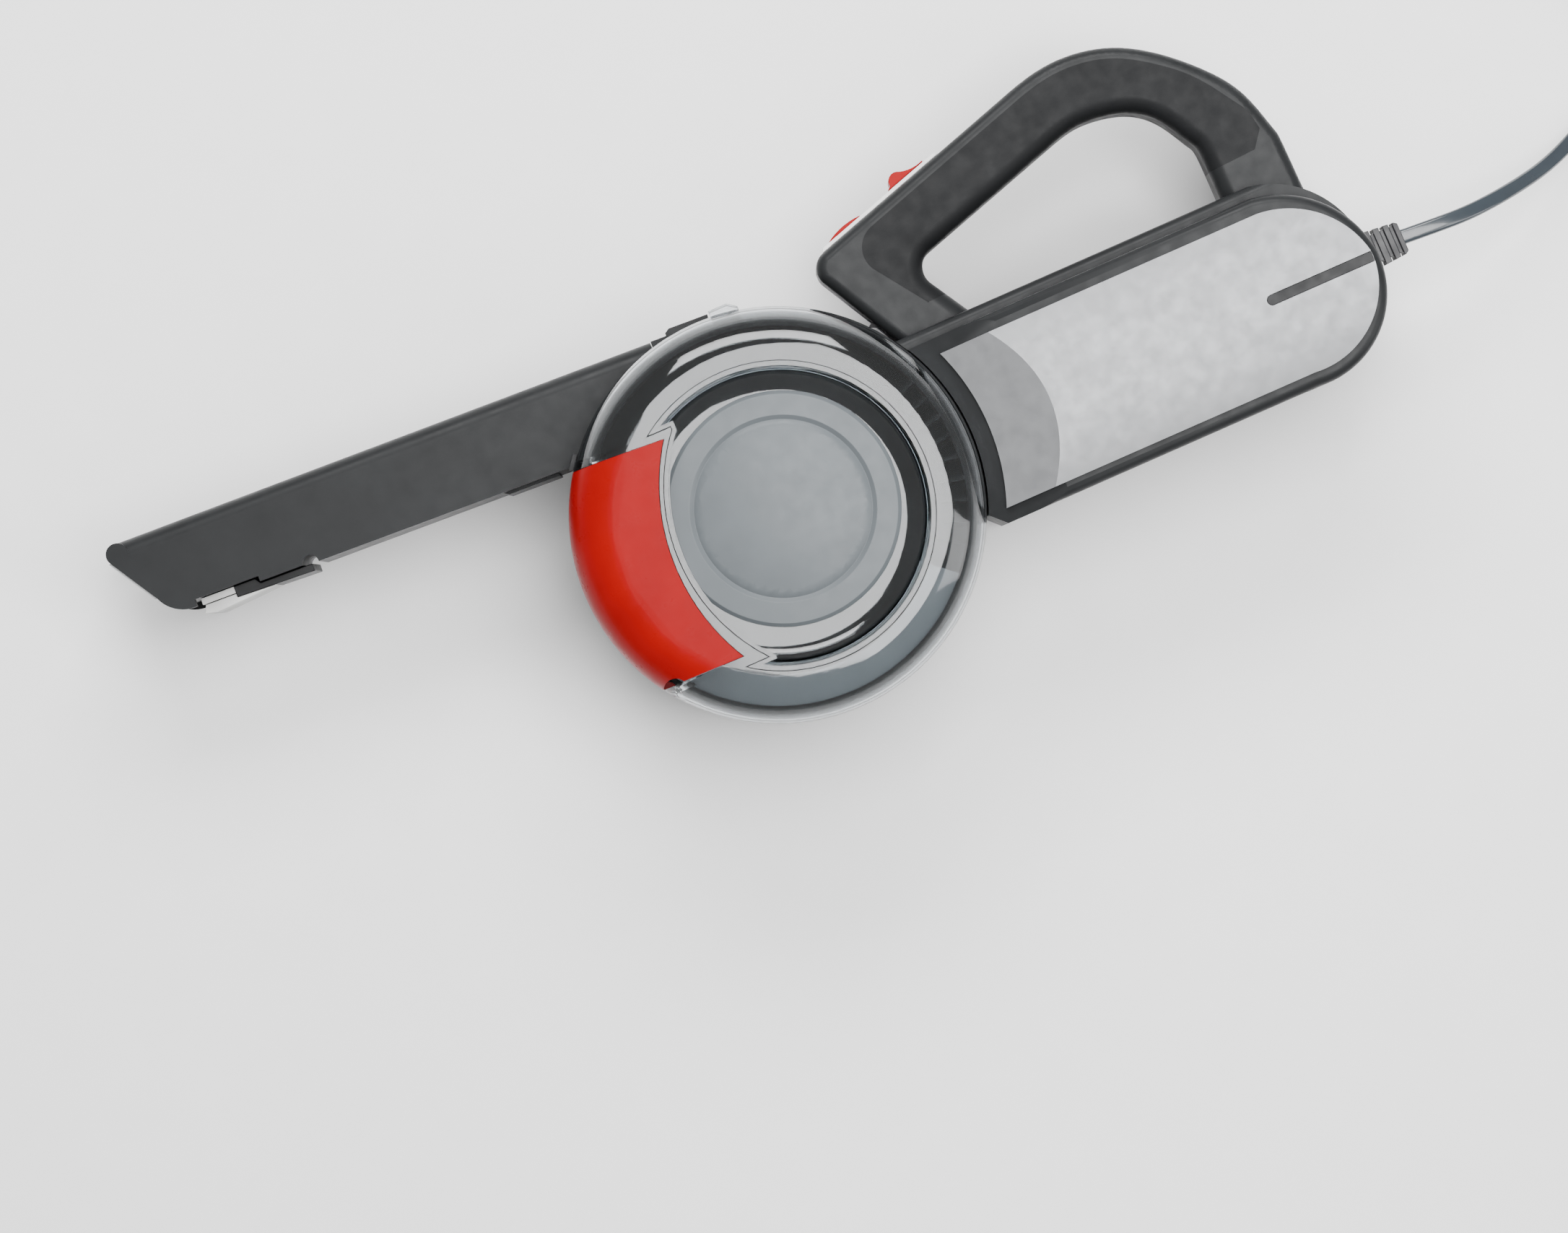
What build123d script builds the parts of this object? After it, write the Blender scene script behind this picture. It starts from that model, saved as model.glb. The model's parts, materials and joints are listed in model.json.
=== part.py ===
"""Handheld car vacuum: a looped handle and motor housing, and a drum whose nozzle pivots on a far-side hub.

Millimetres.  The origin is on the drum's pivot axis, on the plane the object lies on: +X runs along the
motor housing towards the cord, +Y towards the handle, +Z along the pivot axis, away from the surface.
"""

import os
from math import cos, pi, radians, sin, sqrt, tan

from build123d import *

os.makedirs("parts", exist_ok=True)

# ---- driving dimensions -------------------------------------------------------------------------
MID = 48.0  # height of the middle plane of housing, handle and nozzle
FACE = 92.0  # near flat face of the dark housing
CROWN = 96.0  # highest line of the silver side panel
WALL = 2.5  # housing wall
HANDLE_HALF = 16.0  # half width of the handle
HANDLE_CHANNEL = 18.0
HANDLE_MIDDLE = [(93, 28), (86.5, 58), (80.8, 84.6), (163.3, 110.3), (196, 111), (221, 96), (235.5, 75)]
GRIP_SLOPE = 17.1  # slope of the handle's top edge, degrees
NOZZLE_SLOPE = -3.35  # the nozzle's own slope at rest
DRUM_R = 86.0
SADDLE_R = 87.0  # the housing's hollow front, round the drum
HUB_R = 84.0
HUB_TOP = 14.0
DRUM_FLOOR = 14.4
SPLIT = 76.0  # where drum base and clear bowl meet
BOWL_Z = 76.4
BOWL_TOP = 110.7
SHOULDER = 20.0  # the bowl's rounded shoulder
DOOR_TOP = 113.0
NOZZLE_LOW = 22.0
NOZZLE_HIGH = 74.0
CAP_R = 63.2
CAP_AT = (1.0, -1.0)
DISC_AT = (3.0, 1.3)
PIVOT_BORE = 24.05
HINGE_AT = (-67.2, -49.6)
MOTOR_R = 18.0
FAN_R = 33.0
CORD_R = 1.7
CORD_W = 6.4  # width of the flat twin cord
COIL_AT = (455.0, 55.0)
COIL_IN = 23.0
COIL_OUT = 42.2
COIL_LOW = 1.0
COIL_HIGH = 26.6
PLUG_R = 13.5
PLUG_X = 497.0
PLUG_REAR = -6.0

MID_PLANE = Plane.XY.offset(MID)


def turned(origin, degrees, height=0.0):
    """A plane facing +Z whose own x runs at an angle in the row's XY plane."""
    across = (cos(radians(degrees)), sin(radians(degrees)), 0)
    return Plane(origin=(origin[0], origin[1], height), x_dir=across, z_dir=(0, 0, 1))


def grip_plane(height):
    return turned((60, 92.5), GRIP_SLOPE, height)


def nozzle_plane(height):
    return turned((0, 0), NOZZLE_SLOPE, height)


def motor_plane(x):
    return Plane(origin=(x, 0, MID), x_dir=(0, 1, 0), z_dir=(1, 0, 0))


def arc_x(radius, y):
    return sqrt(radius**2 - y**2)


# ---- outlines ------------------------------------------------------------------------------------
def housing_face():
    """Side outline of the motor housing, before its front is hollowed round the drum."""
    with BuildSketch() as face:
        with BuildLine():
            Polyline((85.8, -41.3), (79.65, -35), (64, -35), (64, 41), (230, 41))
            ThreePointArc((230, 41), (257, 27.5), (269.7, 0))
            ThreePointArc((269.7, 0), (257.5, -30.5), (226, -41.3))
            Line((226, -41.3), (85.8, -41.3))
        make_face()
    return face.sketch


def ridge_face():
    """The raised spine under the handle."""
    with BuildSketch() as face:
        with BuildLine():
            Line((64, 46.5), (232, 46.5))
            ThreePointArc((232, 46.5), (255, 35), (266, 17))
            Polyline((266, 17), (240, 10), (64, 10), (64, 46.5))
        make_face()
    return face.sketch


def handle_face():
    """Outer outline of nose, grip, crown and rear leg; its lower end lies inside the housing."""
    start = (cos(radians(GRIP_SLOPE)), sin(radians(GRIP_SLOPE)))
    crown = [(160, 123.3), (181.7, 127.2), (206.7, 122.5), (223, 112.5), (238, 98.3), (249, 81.7)]
    with BuildSketch() as face:
        with BuildLine():
            Line((76, 45), (57, 80.4))
            ThreePointArc((57, 80.4), (55.9, 87.5), (61, 92.8))
            Line((61, 92.8), (160, 123.3))
            Spline(*crown, (253.6, 66.7), (255.5, 34), tangents=[start, (0.02, -1)])
            Polyline((255.5, 34), (240, 20), (91, 20), (76, 45))
        make_face()
    return face.sketch


def opening_face():
    """The finger opening; its lower end lies inside the housing."""
    arch = [(166, 95.6), (180, 98.8), (190, 98.3), (203.3, 94.2), (213.3, 85), (220, 73.3), (222, 60)]
    with BuildSketch() as face:
        with BuildLine():
            FilletPolyline((166, 95.6), (92.07, 72.84), (117.2, 30), (222, 30), (222, 60), radius=8.7)
            Spline(*arch, tangents=[(73.93, 22.76), (0, -1)])
        make_face()
    return face.sketch


def grip_face():
    """The part of the handle inside the seam; it runs on across the finger opening."""
    crown = [(161.5, 118.5), (181.9, 122.2), (204.9, 117.9), (219.6, 108.8), (234, 95.2), (244.4, 79.7)]
    with BuildSketch() as face:
        with BuildLine():
            Polyline((215, 58.3), (106, 57), (93, 56.3), (77.5, 78.5))
            ThreePointArc((77.5, 78.5), (76.9, 88), (84.5, 94.8))
            Line((84.5, 94.8), crown[0])
            Spline(*crown, (248.4, 67), tangents=[(0.956, 0.294), (0.15, -1)])
            Polyline((248.4, 67), (243, 59.8), (215, 58.3))
        make_face()
    return face.sketch


def panel_face(front=94.3):
    with BuildSketch() as face:
        with BuildLine():
            Line((arc_x(front, 34), 34), (230, 34))
            ThreePointArc((230, 34), (256, 21.6), (266.7, 0))
            ThreePointArc((266.7, 0), (256, -24.8), (226, -35.3))
            Line((226, -35.3), (arc_x(front, -35.3), -35.3))
            ThreePointArc((arc_x(front, -35.3), -35.3), (front, 0), (arc_x(front, 34), 34))
        make_face()
    return face.sketch


def cap_face(grow=0.0):
    """Outline of the filter cap: round, but cut back beside the dust door."""
    with BuildSketch() as bite:
        with Locations((-60, -0.75)):
            Rectangle(69 - 2 * grow, 102.5 - 2 * grow)
        with Locations((33.7, -2)):
            Circle(78 + grow, mode=Mode.SUBTRACT)
    with BuildSketch() as face:
        with Locations(CAP_AT):
            Circle(CAP_R + grow)
        add(bite.sketch, mode=Mode.SUBTRACT)
    return face.sketch


def door_face(gap=0.0):
    """Plan of the dust door, run out past the drum's edge."""
    with BuildSketch() as face:
        with BuildLine():
            Polyline((-95, 51.5 + gap), (-20, 45.9 + gap), (-20, -47.6 - gap), (-95, -46.4 - gap), close=True)
        make_face()
        with Locations((42, -5)):
            Circle(89 - gap, mode=Mode.SUBTRACT)
    return face.sketch


def frame_bars_face():
    """The two straight lips of the bowl's door opening."""
    with BuildSketch() as face:
        with BuildLine():
            Polyline((-95, 51.8), (-27, 46.7), (-27, 49.4), (-95, 54.6), close=True)
        make_face()
        with BuildLine():
            Polyline((-95, -46.7), (-31, -47.7), (-31, -50.4), (-95, -49.5), close=True)
        make_face()
    return face.sketch


def bowl_profile(top, inner_r, thick):
    """Half section of the shouldered shell, from its rim to a radius on its top, in the XZ plane."""
    bend = top - SHOULDER
    mid_out = (66 + SHOULDER * cos(pi / 4), bend + SHOULDER * sin(pi / 4))
    small = SHOULDER - thick
    mid_in = (66 + small * cos(pi / 4), bend + small * sin(pi / 4))
    with BuildSketch(Plane.XZ) as face:
        with BuildLine():
            Line((DRUM_R, BOWL_Z), (DRUM_R, bend))
            ThreePointArc((DRUM_R, bend), mid_out, (66, top))
            Polyline((66, top), (inner_r, top), (inner_r, top - thick), (66, top - thick))
            ThreePointArc((66, top - thick), mid_in, (DRUM_R - thick, bend))
            Polyline((DRUM_R - thick, bend), (DRUM_R - thick, BOWL_Z), (DRUM_R, BOWL_Z))
        make_face()
    return face.sketch


# ---- motor housing and handle --------------------------------------------------------------------
def spine_block():
    """Outside of the near half of the housing, without the handle."""
    with BuildPart() as block:
        with BuildSketch(MID_PLANE):
            add(housing_face())
        extrude(amount=FACE - MID)
        rims = block.faces().sort_by(Axis.Z)[-1].edges()
        fillet([e for e in rims if e.center().X > 80], radius=4.0)
    with BuildPart() as ridge:
        with BuildSketch(MID_PLANE):
            add(ridge_face())
        extrude(amount=28)
        fillet(ridge.faces().sort_by(Axis.Z)[-1].edges().sort_by(Axis.Y)[-1], radius=4.0)
    with BuildPart() as whole:
        add(block.part)
        add(ridge.part)
        with BuildSketch(Plane.XY):
            Circle(SADDLE_R)
        extrude(amount=110, mode=Mode.SUBTRACT)
    return whole.part


def handle_block():
    """Outside of the near half of the handle."""
    with BuildPart() as block:
        with BuildSketch(MID_PLANE):
            add(handle_face())
            add(opening_face(), mode=Mode.SUBTRACT)
        extrude(amount=HANDLE_HALF)
        top = block.faces().sort_by(Axis.Z)[-1]
        fillet(top.inner_wires()[0].edges(), radius=7.0)
        outer = block.faces().sort_by(Axis.Z)[-1].outer_wire().edges()
        rounded = [e for e in outer if e.center().Y > 52 or e.center().X > 250 or e.center().X < 74]
        fillet(rounded, radius=4.6)
    return block.part


def channel_face():
    """The channel along the middle of the handle, from the nose round to the rear leg."""
    with BuildSketch() as face:
        with BuildLine():
            FilletPolyline(*HANDLE_MIDDLE, (238.5, 28), radius=10)
        trace(line_width=HANDLE_CHANNEL)
    return face.sketch


def hollow_of(face, top):
    """Room inside the near half under one outline, from just beyond the middle plane to a height."""
    with BuildPart() as room:
        with BuildSketch(MID_PLANE.offset(-0.5)):
            add(face)
        extrude(amount=top - MID + 0.5)
        with BuildSketch(Plane.XY):
            Circle(SADDLE_R + WALL)
        extrude(amount=110, mode=Mode.SUBTRACT)
    return room.part


BODY_BOSSES = [(102, 33), (102, -33), (228, 26), (228, -28)]
HANDLE_BOSSES = [(67, 83), (246.5, 50)]
CROWN_BOSS = (178, 117)
VENTS = [158 + 6.2 * i for i in range(12)]
spine = spine_block()
handle = handle_block()
room_body = hollow_of(offset(housing_face(), amount=-WALL), 82)
room_deep = hollow_of(offset(housing_face(), amount=-WALL), FACE - WALL)
room_ridge = hollow_of(offset(ridge_face(), amount=-WALL), 73)
room_handle = hollow_of(channel_face(), 58.5)
with BuildPart() as front_block:
    with Locations((86, 0, 92)):
        Box(60, 120, 20)
room_deep = room_deep - front_block.part
rooms = [room_body, room_deep, room_ridge, room_handle]
far_rooms = [mirror(room, about=MID_PLANE) for room in rooms]


def openings_in():
    """What is cut through both halves: cord exit, vents, catch slot, switch and button slots."""
    with BuildPart() as cuts:
        with BuildSketch(Plane(origin=(258, 2, MID), x_dir=(0, 1, 0), z_dir=(1, 0, 0))):
            Circle(5.2)
        extrude(amount=20)
        with Locations(*[(x, -42, MID) for x in VENTS]):
            Box(3.0, 12, 44)
        with Locations((71, 56.5, MID)):
            Box(16, 8.2, 7.6)
        with BuildSketch(grip_plane(MID - 6.3)):
            with Locations((15.1, -3)):
                Rectangle(18.2, 8)
        extrude(amount=12.6)
        with BuildSketch(grip_plane(MID - 3.9)):
            with Locations((44.5, -3)):
                Rectangle(16.4, 8)
        extrude(amount=7.8)
        with BuildSketch(grip_plane(MID - 3.2)):
            with Locations((15.5, -25)):
                Rectangle(6.4, 42)
        extrude(amount=6.4)
    return cuts.part


cuts = openings_in()

with BuildPart() as housing_near:
    add(spine)
    with BuildSketch(Plane.XZ):
        with BuildLine():
            Polyline((60, 78.26), (113.7, FACE), (113.7, 100), (60, 100), close=True)
        make_face()
    extrude(amount=80, both=True, mode=Mode.SUBTRACT)
    add(handle)
    for room in rooms:
        add(room, mode=Mode.SUBTRACT)
    with BuildSketch(MID_PLANE):
        add(grip_face())
        with Locations((160, 50)):
            Rectangle(240, 13, mode=Mode.SUBTRACT)
    extrude(amount=HANDLE_HALF + 1, mode=Mode.SUBTRACT)
    with BuildSketch(MID_PLANE):
        with Locations(*BODY_BOSSES[:2]):
            Circle(4.5)
    extrude(amount=34.5)
    with BuildSketch(MID_PLANE):
        with Locations(*BODY_BOSSES[2:]):
            Circle(4.5)
    extrude(amount=FACE - WALL + 0.5 - MID)
    with BuildSketch(MID_PLANE):
        with Locations(*HANDLE_BOSSES):
            Circle(4.0)
    extrude(amount=11)
    with BuildSketch(MID_PLANE):
        with Locations(*BODY_BOSSES, *HANDLE_BOSSES):
            Circle(1.4)
    extrude(amount=9, mode=Mode.SUBTRACT)
    add(cuts, mode=Mode.SUBTRACT)

with BuildPart() as housing_far:
    add(mirror(spine, about=MID_PLANE, mode=Mode.PRIVATE))
    add(mirror(handle, about=MID_PLANE, mode=Mode.PRIVATE))
    for room in far_rooms:
        add(room, mode=Mode.SUBTRACT)
    with BuildSketch(MID_PLANE):
        add(grip_face())
        with Locations((160, 50)):
            Rectangle(240, 13, mode=Mode.SUBTRACT)
    extrude(amount=-HANDLE_HALF - 1, mode=Mode.SUBTRACT)
    with BuildSketch(Plane.XY.offset(5)):
        with Locations(*BODY_BOSSES):
            Circle(4.5)
    extrude(amount=MID - 5)
    with BuildSketch(Plane.XY.offset(37)):
        with Locations(*HANDLE_BOSSES):
            Circle(4.0)
    extrude(amount=11)
    with BuildSketch(Plane.XY):
        with Locations(*BODY_BOSSES, *HANDLE_BOSSES):
            Circle(1.8)
    extrude(amount=MID, mode=Mode.SUBTRACT)
    with BuildSketch(Plane.XY):
        with Locations(*BODY_BOSSES):
            Circle(3.5)
    extrude(amount=20, mode=Mode.SUBTRACT)
    with BuildSketch(Plane.XY.offset(30)):
        with Locations(*HANDLE_BOSSES):
            Circle(3.5)
    extrude(amount=6, mode=Mode.SUBTRACT)
    with Locations((85, 0, 5)):
        Box(38.6, 56.6, 18.6, mode=Mode.SUBTRACT)
    add(cuts, mode=Mode.SUBTRACT)

with BuildPart() as grip_blank:
    add(mirror(handle, about=MID_PLANE, mode=Mode.PRIVATE))
    with BuildSketch(MID_PLANE):
        add(grip_face())
    extrude(amount=-HANDLE_HALF - 1, mode=Mode.INTERSECT)
    add(far_rooms[-1], mode=Mode.SUBTRACT)

with BuildPart() as grip_near:
    add(mirror(grip_blank.part, about=MID_PLANE, mode=Mode.PRIVATE))
    add(cuts, mode=Mode.SUBTRACT)
    with BuildSketch(MID_PLANE):
        with Locations(CROWN_BOSS):
            Circle(3.6)
            Circle(1.4, mode=Mode.SUBTRACT)
    extrude(amount=11)

with BuildPart() as grip_far:
    add(grip_blank.part)
    add(cuts, mode=Mode.SUBTRACT)
    with BuildSketch(Plane.XY.offset(37)):
        with Locations(CROWN_BOSS):
            Circle(3.6)
    extrude(amount=11)
    with BuildSketch(Plane.XY.offset(30)):
        with Locations(CROWN_BOSS):
            Circle(1.8)
    extrude(amount=18, mode=Mode.SUBTRACT)
    with BuildSketch(Plane.XY.offset(30)):
        with Locations(CROWN_BOSS):
            Circle(3.5)
    extrude(amount=6, mode=Mode.SUBTRACT)


def screw(at, head_z, length, head_r=3.2, shank_r=1.35, head_h=2.0):
    """A pan-head screw whose head looks down (-Z)."""
    with BuildPart() as piece:
        with Locations((at[0], at[1], head_z)):
            Cylinder(head_r, head_h, align=(Align.CENTER, Align.CENTER, Align.MIN))
            Cylinder(shank_r, head_h + length, align=(Align.CENTER, Align.CENTER, Align.MIN))
        with Locations((at[0], at[1], head_z)):
            Box(head_r, 0.7, 1.4, mode=Mode.SUBTRACT)
            Box(0.7, head_r, 1.4, mode=Mode.SUBTRACT)
    return piece.part


with BuildPart() as housing_screws:
    for place in BODY_BOSSES:
        add(screw(place, 18.0, 34))
    for place in [*HANDLE_BOSSES, CROWN_BOSS]:
        add(screw(place, 34.0, 18))


def side_panel(profile):
    """A silver panel on the near side, crowned across its width, with a slot for its inlay."""
    with BuildPart() as panel:
        with BuildSketch(Plane.XY.offset(74)):
            add(panel_face())
        extrude(amount=26)
        with BuildSketch(Plane.XZ):
            with BuildLine():
                Polyline(*profile, close=True)
            make_face()
        extrude(amount=60, both=True, mode=Mode.INTERSECT)
        with BuildSketch(Plane.YZ):
            with Locations((-0.6, CROWN - 193)):
                Circle(193)
        extrude(amount=300, mode=Mode.INTERSECT)
        with BuildSketch(Plane.XY.offset(CROWN - 1.5)):
            with Locations((247, -1)):
                SlotCenterToCenter(51.4, 4.6)
        extrude(amount=3, mode=Mode.SUBTRACT)
    return panel.part


with BuildPart() as side_panel_near:
    add(side_panel([(60, 80.26), (121.5, CROWN), (300, CROWN), (300, FACE), (113.7, FACE), (60, 78.26)]))

with BuildPart() as side_panel_far:
    far_profile = [(107, FACE), (107, CROWN), (300, CROWN), (300, FACE)]
    add(mirror(side_panel(far_profile), about=MID_PLANE, mode=Mode.PRIVATE))
    with BuildSketch(Plane.XY):
        with Locations(BODY_BOSSES[2], BODY_BOSSES[3]):
            Circle(3.5)
    extrude(amount=6, mode=Mode.SUBTRACT)


def panel_inlay(height):
    with BuildPart() as inlay:
        with BuildSketch(Plane.XY.offset(height)):
            with Locations((247, -1)):
                SlotCenterToCenter(51.2, 4.4)
            add(offset(panel_face(), amount=-0.2, mode=Mode.PRIVATE), mode=Mode.INTERSECT)
        extrude(amount=1.2)
    return inlay.part


with BuildPart() as panel_inlay_near:
    add(panel_inlay(CROWN - 1.5))

with BuildPart() as panel_inlay_far:
    add(panel_inlay(0.3))

# ---- switch, button and cord exit ----------------------------------------------------------------
with BuildPart() as switch_plate:
    with BuildSketch(grip_plane(MID - 11)):
        with BuildLine():
            Line((1.5, 0.05), (64.5, 0.05))
            ThreePointArc((64.5, 0.05), (63.6, 1.2), (61.5, 1.6))
            Line((61.5, 1.6), (4.5, 1.6))
            ThreePointArc((4.5, 1.6), (2.4, 1.2), (1.5, 0.05))
        make_face()
    extrude(amount=22)
    with BuildSketch(grip_plane(MID - 6.3)):
        with Locations((15.1, 0)):
            Rectangle(18.2, 8)
    extrude(amount=12.6, mode=Mode.SUBTRACT)
    with BuildSketch(grip_plane(MID - 3.9)):
        with Locations((44.5, 0)):
            Rectangle(16.4, 8)
    extrude(amount=7.8, mode=Mode.SUBTRACT)

with BuildPart() as power_slider:
    with BuildSketch(grip_plane(MID - 8)):
        with BuildLine():
            Polyline((39.1, 1.9), (39.6, 2.3), (41.0, 2.8))
            ThreePointArc((41.0, 2.8), (43.6, 6.2), (47.6, 5.2))
            ThreePointArc((47.6, 5.2), (51.5, 3.2), (58.0, 2.4))
            Polyline((58.0, 2.4), (58.2, 1.9), (39.1, 1.9))
        make_face()
    extrude(amount=16)
    with BuildSketch(grip_plane(MID - 3.4)):
        with Locations((48, -2.9)):
            Rectangle(8, 10)
    extrude(amount=6.8)

with BuildPart() as release_button:
    with BuildSketch(grip_plane(MID - 5.9)):
        with BuildLine():
            Line((6.5, 2.0), (6.5, -4))
            Line((6.5, -4), (23.7, -4))
            Line((23.7, -4), (23.7, 2.0))
            ThreePointArc((23.7, 2.0), (15.1, 3.3), (6.5, 2.0))
        make_face()
    extrude(amount=11.8)

with BuildPart() as release_rod:
    with BuildSketch(grip_plane(MID - 2.5)):
        with Locations((15.5, -23)):
            Rectangle(5, 38)
    extrude(amount=5)
    with BuildSketch(MID_PLANE.offset(-3)):
        with BuildLine():
            Polyline((89, 55.6), (89, 60), (70.4, 60), (66.8, 57.4), (70.4, 55.6), close=True)
        make_face()
    extrude(amount=6)

with BuildPart() as main_switch:
    with BuildSketch(grip_plane(MID - 5)):
        with Locations((46, -13.2)):
            Rectangle(22, 7)
        with Locations((34.5, -10.7), (57.5, -10.7)):
            Rectangle(3, 12)
    extrude(amount=10)

with BuildPart() as strain_relief:
    with BuildSketch(MID_PLANE.offset(-6.2)):
        with BuildLine():
            Polyline((270, 10.4), (284.6, 9), (286, 8), (286, -4.2), (284.6, -5.3), (270, -6.4), close=True)
        make_face()
    extrude(amount=12.4)
    for column in (274.5, 278.8, 283.0):
        for side in (12.2, -8.2):
            with Locations((column, side, MID)):
                Box(1.7, 8.4, 14, mode=Mode.SUBTRACT)
        for side in (6.6, -6.6):
            with Locations((column, 2, MID + side)):
                Box(1.7, 20, 3.6, mode=Mode.SUBTRACT)
    with BuildSketch(Plane(origin=(263.5, 2, MID), x_dir=(0, 1, 0), z_dir=(1, 0, 0))):
        Circle(5.0)
    extrude(amount=7)
    with BuildSketch(Plane(origin=(260.5, 2, MID), x_dir=(0, 1, 0), z_dir=(1, 0, 0))):
        Circle(7.5)
    extrude(amount=4)

# ---- motor, fan and wiring -----------------------------------------------------------------------
with BuildPart() as motor_can:
    with BuildSketch(motor_plane(148)):
        Circle(MOTOR_R)
    extrude(amount=58)
    with BuildSketch(motor_plane(149.5)):
        Circle(MOTOR_R - 1.2)
    extrude(amount=58, mode=Mode.SUBTRACT)
    with BuildSketch(motor_plane(147)):
        Circle(3.2)
    extrude(amount=4, mode=Mode.SUBTRACT)

with BuildPart() as motor_magnets:
    with BuildSketch(motor_plane(153)):
        Circle(MOTOR_R - 1.25)
        Circle(14.4, mode=Mode.SUBTRACT)
        Rectangle(12, 40, mode=Mode.SUBTRACT)
    extrude(amount=44)

with BuildPart() as motor_endcap:
    with BuildSketch(motor_plane(206)):
        Circle(MOTOR_R)
    extrude(amount=2)
    with BuildSketch(motor_plane(203)):
        Circle(MOTOR_R - 1.3)
        Circle(MOTOR_R - 3.5, mode=Mode.SUBTRACT)
    extrude(amount=3)
    with BuildSketch(motor_plane(208)):
        Circle(6)
    extrude(amount=4)
    with BuildSketch(motor_plane(202)):
        Circle(1.65)
    extrude(amount=9, mode=Mode.SUBTRACT)
    with BuildSketch(motor_plane(206)):
        with PolarLocations(12, 4, start_angle=45):
            Circle(2.2)
    extrude(amount=4, mode=Mode.SUBTRACT)

with BuildPart() as motor_shaft:
    with BuildSketch(motor_plane(116)):
        Circle(1.6)
    extrude(amount=94)

with BuildPart() as armature:
    with BuildSketch(motor_plane(156)):
        Circle(13.6)
        Circle(1.61, mode=Mode.SUBTRACT)
        with PolarLocations(11.2, 5):
            Rectangle(6, 1.6, mode=Mode.SUBTRACT)
            Circle(2.6, mode=Mode.SUBTRACT)
    extrude(amount=34)

with BuildPart() as commutator:
    with BuildSketch(motor_plane(193)):
        Circle(5)
        Circle(1.61, mode=Mode.SUBTRACT)
        with PolarLocations(5, 10):
            Rectangle(1.4, 0.5, mode=Mode.SUBTRACT)
    extrude(amount=8)

with BuildPart() as impeller:
    with BuildSketch(motor_plane(133)):
        Circle(FAN_R)
        Circle(1.61, mode=Mode.SUBTRACT)
    extrude(amount=1.6)
    with BuildSketch(motor_plane(122)):
        Circle(6)
        Circle(1.61, mode=Mode.SUBTRACT)
    extrude(amount=11)
    with BuildSketch(motor_plane(123)):
        with PolarLocations(0, 9):
            with BuildLine():
                blade = ThreePointArc((8, 0), (20, 7.5), (32, 6))
            SlotArc(blade, 1.4)
    extrude(amount=10)

with BuildPart() as fan_shroud:
    with BuildSketch(motor_plane(118)):
        Circle(37.5)
    extrude(amount=24)
    with BuildSketch(motor_plane(120)):
        Circle(35.2)
    extrude(amount=24, mode=Mode.SUBTRACT)
    with BuildSketch(motor_plane(117)):
        Circle(17)
    extrude(amount=5, mode=Mode.SUBTRACT)

with BuildPart() as fan_guard:
    with BuildSketch(motor_plane(113.5)):
        Circle(33.6)
        Circle(2.0, mode=Mode.SUBTRACT)
        with PolarLocations(8, 6):
            Circle(3.0, mode=Mode.SUBTRACT)
        with PolarLocations(16.5, 12):
            Circle(3.2, mode=Mode.SUBTRACT)
        with PolarLocations(25.5, 18):
            Circle(3.2, mode=Mode.SUBTRACT)
    extrude(amount=1.6)

with BuildPart() as motor_mount_front:
    with BuildSketch(motor_plane(142)):
        Circle(37.5)
        Circle(3.2, mode=Mode.SUBTRACT)
        with PolarLocations(27.5, 8):
            Circle(6.5, mode=Mode.SUBTRACT)
    extrude(amount=6)

with BuildPart() as motor_mount_rear:
    with BuildSketch(motor_plane(194)):
        Circle(24)
        Rectangle(77, 9)
        Circle(MOTOR_R, mode=Mode.SUBTRACT)
    extrude(amount=6)


def wire(points, radius=7.0):
    """A round lead along straight runs joined by arcs."""
    with BuildPart() as lead:
        with BuildLine() as path:
            FilletPolyline(*points, radius=radius)
        with BuildSketch(Plane(origin=path.line @ 0, z_dir=path.line % 0)):
            Circle(1.1)
        sweep()
    return lead.part


HANDLE_RUN = [(240, 34), (238, 60), (231, 84), (216, 100), (190, 110.5), (164, 108)]
with BuildPart() as lead_wires:
    there = [(260, 4, MID + 3), (250, 14, MID + 3)] + [(x, y, MID + 3) for x, y in HANDLE_RUN]
    add(wire([*there, (121, 97, MID + 3)]))
    back = [(121, 95, MID - 3), (164, 106, MID - 3)] + [(x, y - 1, MID - 3) for x, y in HANDLE_RUN[-2::-1]]
    add(wire([*back, (237, 12, MID - 3), (208.2, 10, MID - 3)], radius=5.0))
    add(wire([(260, 0, MID), (238, -6, MID), (208.2, -10, MID)]))

# ---- far-side hub --------------------------------------------------------------------------------
HUB_SCREWS = [(78.2 * cos(radians(a)), 78.2 * sin(radians(a))) for a in (60, 120, 180, 240, 300)]


def hub_face(reach):
    with BuildSketch() as face:
        Circle(HUB_R)
        with Locations(((60 + reach) / 2, 0)):
            Rectangle(reach - 60, 56)
    return face.sketch


with BuildPart() as hub_housing:
    with BuildSketch(Plane.XY):
        add(hub_face(104))
    extrude(amount=11)
    with BuildSketch(Plane.XY.offset(WALL)):
        Circle(HUB_R - WALL)
        with Locations((80.75, 0)):
            Rectangle(41.5, 51)
    extrude(amount=11, mode=Mode.SUBTRACT)
    with BuildSketch(Plane.XY.offset(1)):
        with Locations(*HUB_SCREWS):
            Circle(4)
    extrude(amount=10)
    with BuildSketch(Plane.XY.offset(4)):
        with Locations(*HUB_SCREWS):
            Circle(1.4)
    extrude(amount=8, mode=Mode.SUBTRACT)
    with BuildSketch(Plane.XY):
        with PolarLocations(52, 24):
            Rectangle(26, 3.2)
        Circle(36, mode=Mode.SUBTRACT)
    extrude(amount=0.8, mode=Mode.SUBTRACT)

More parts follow.
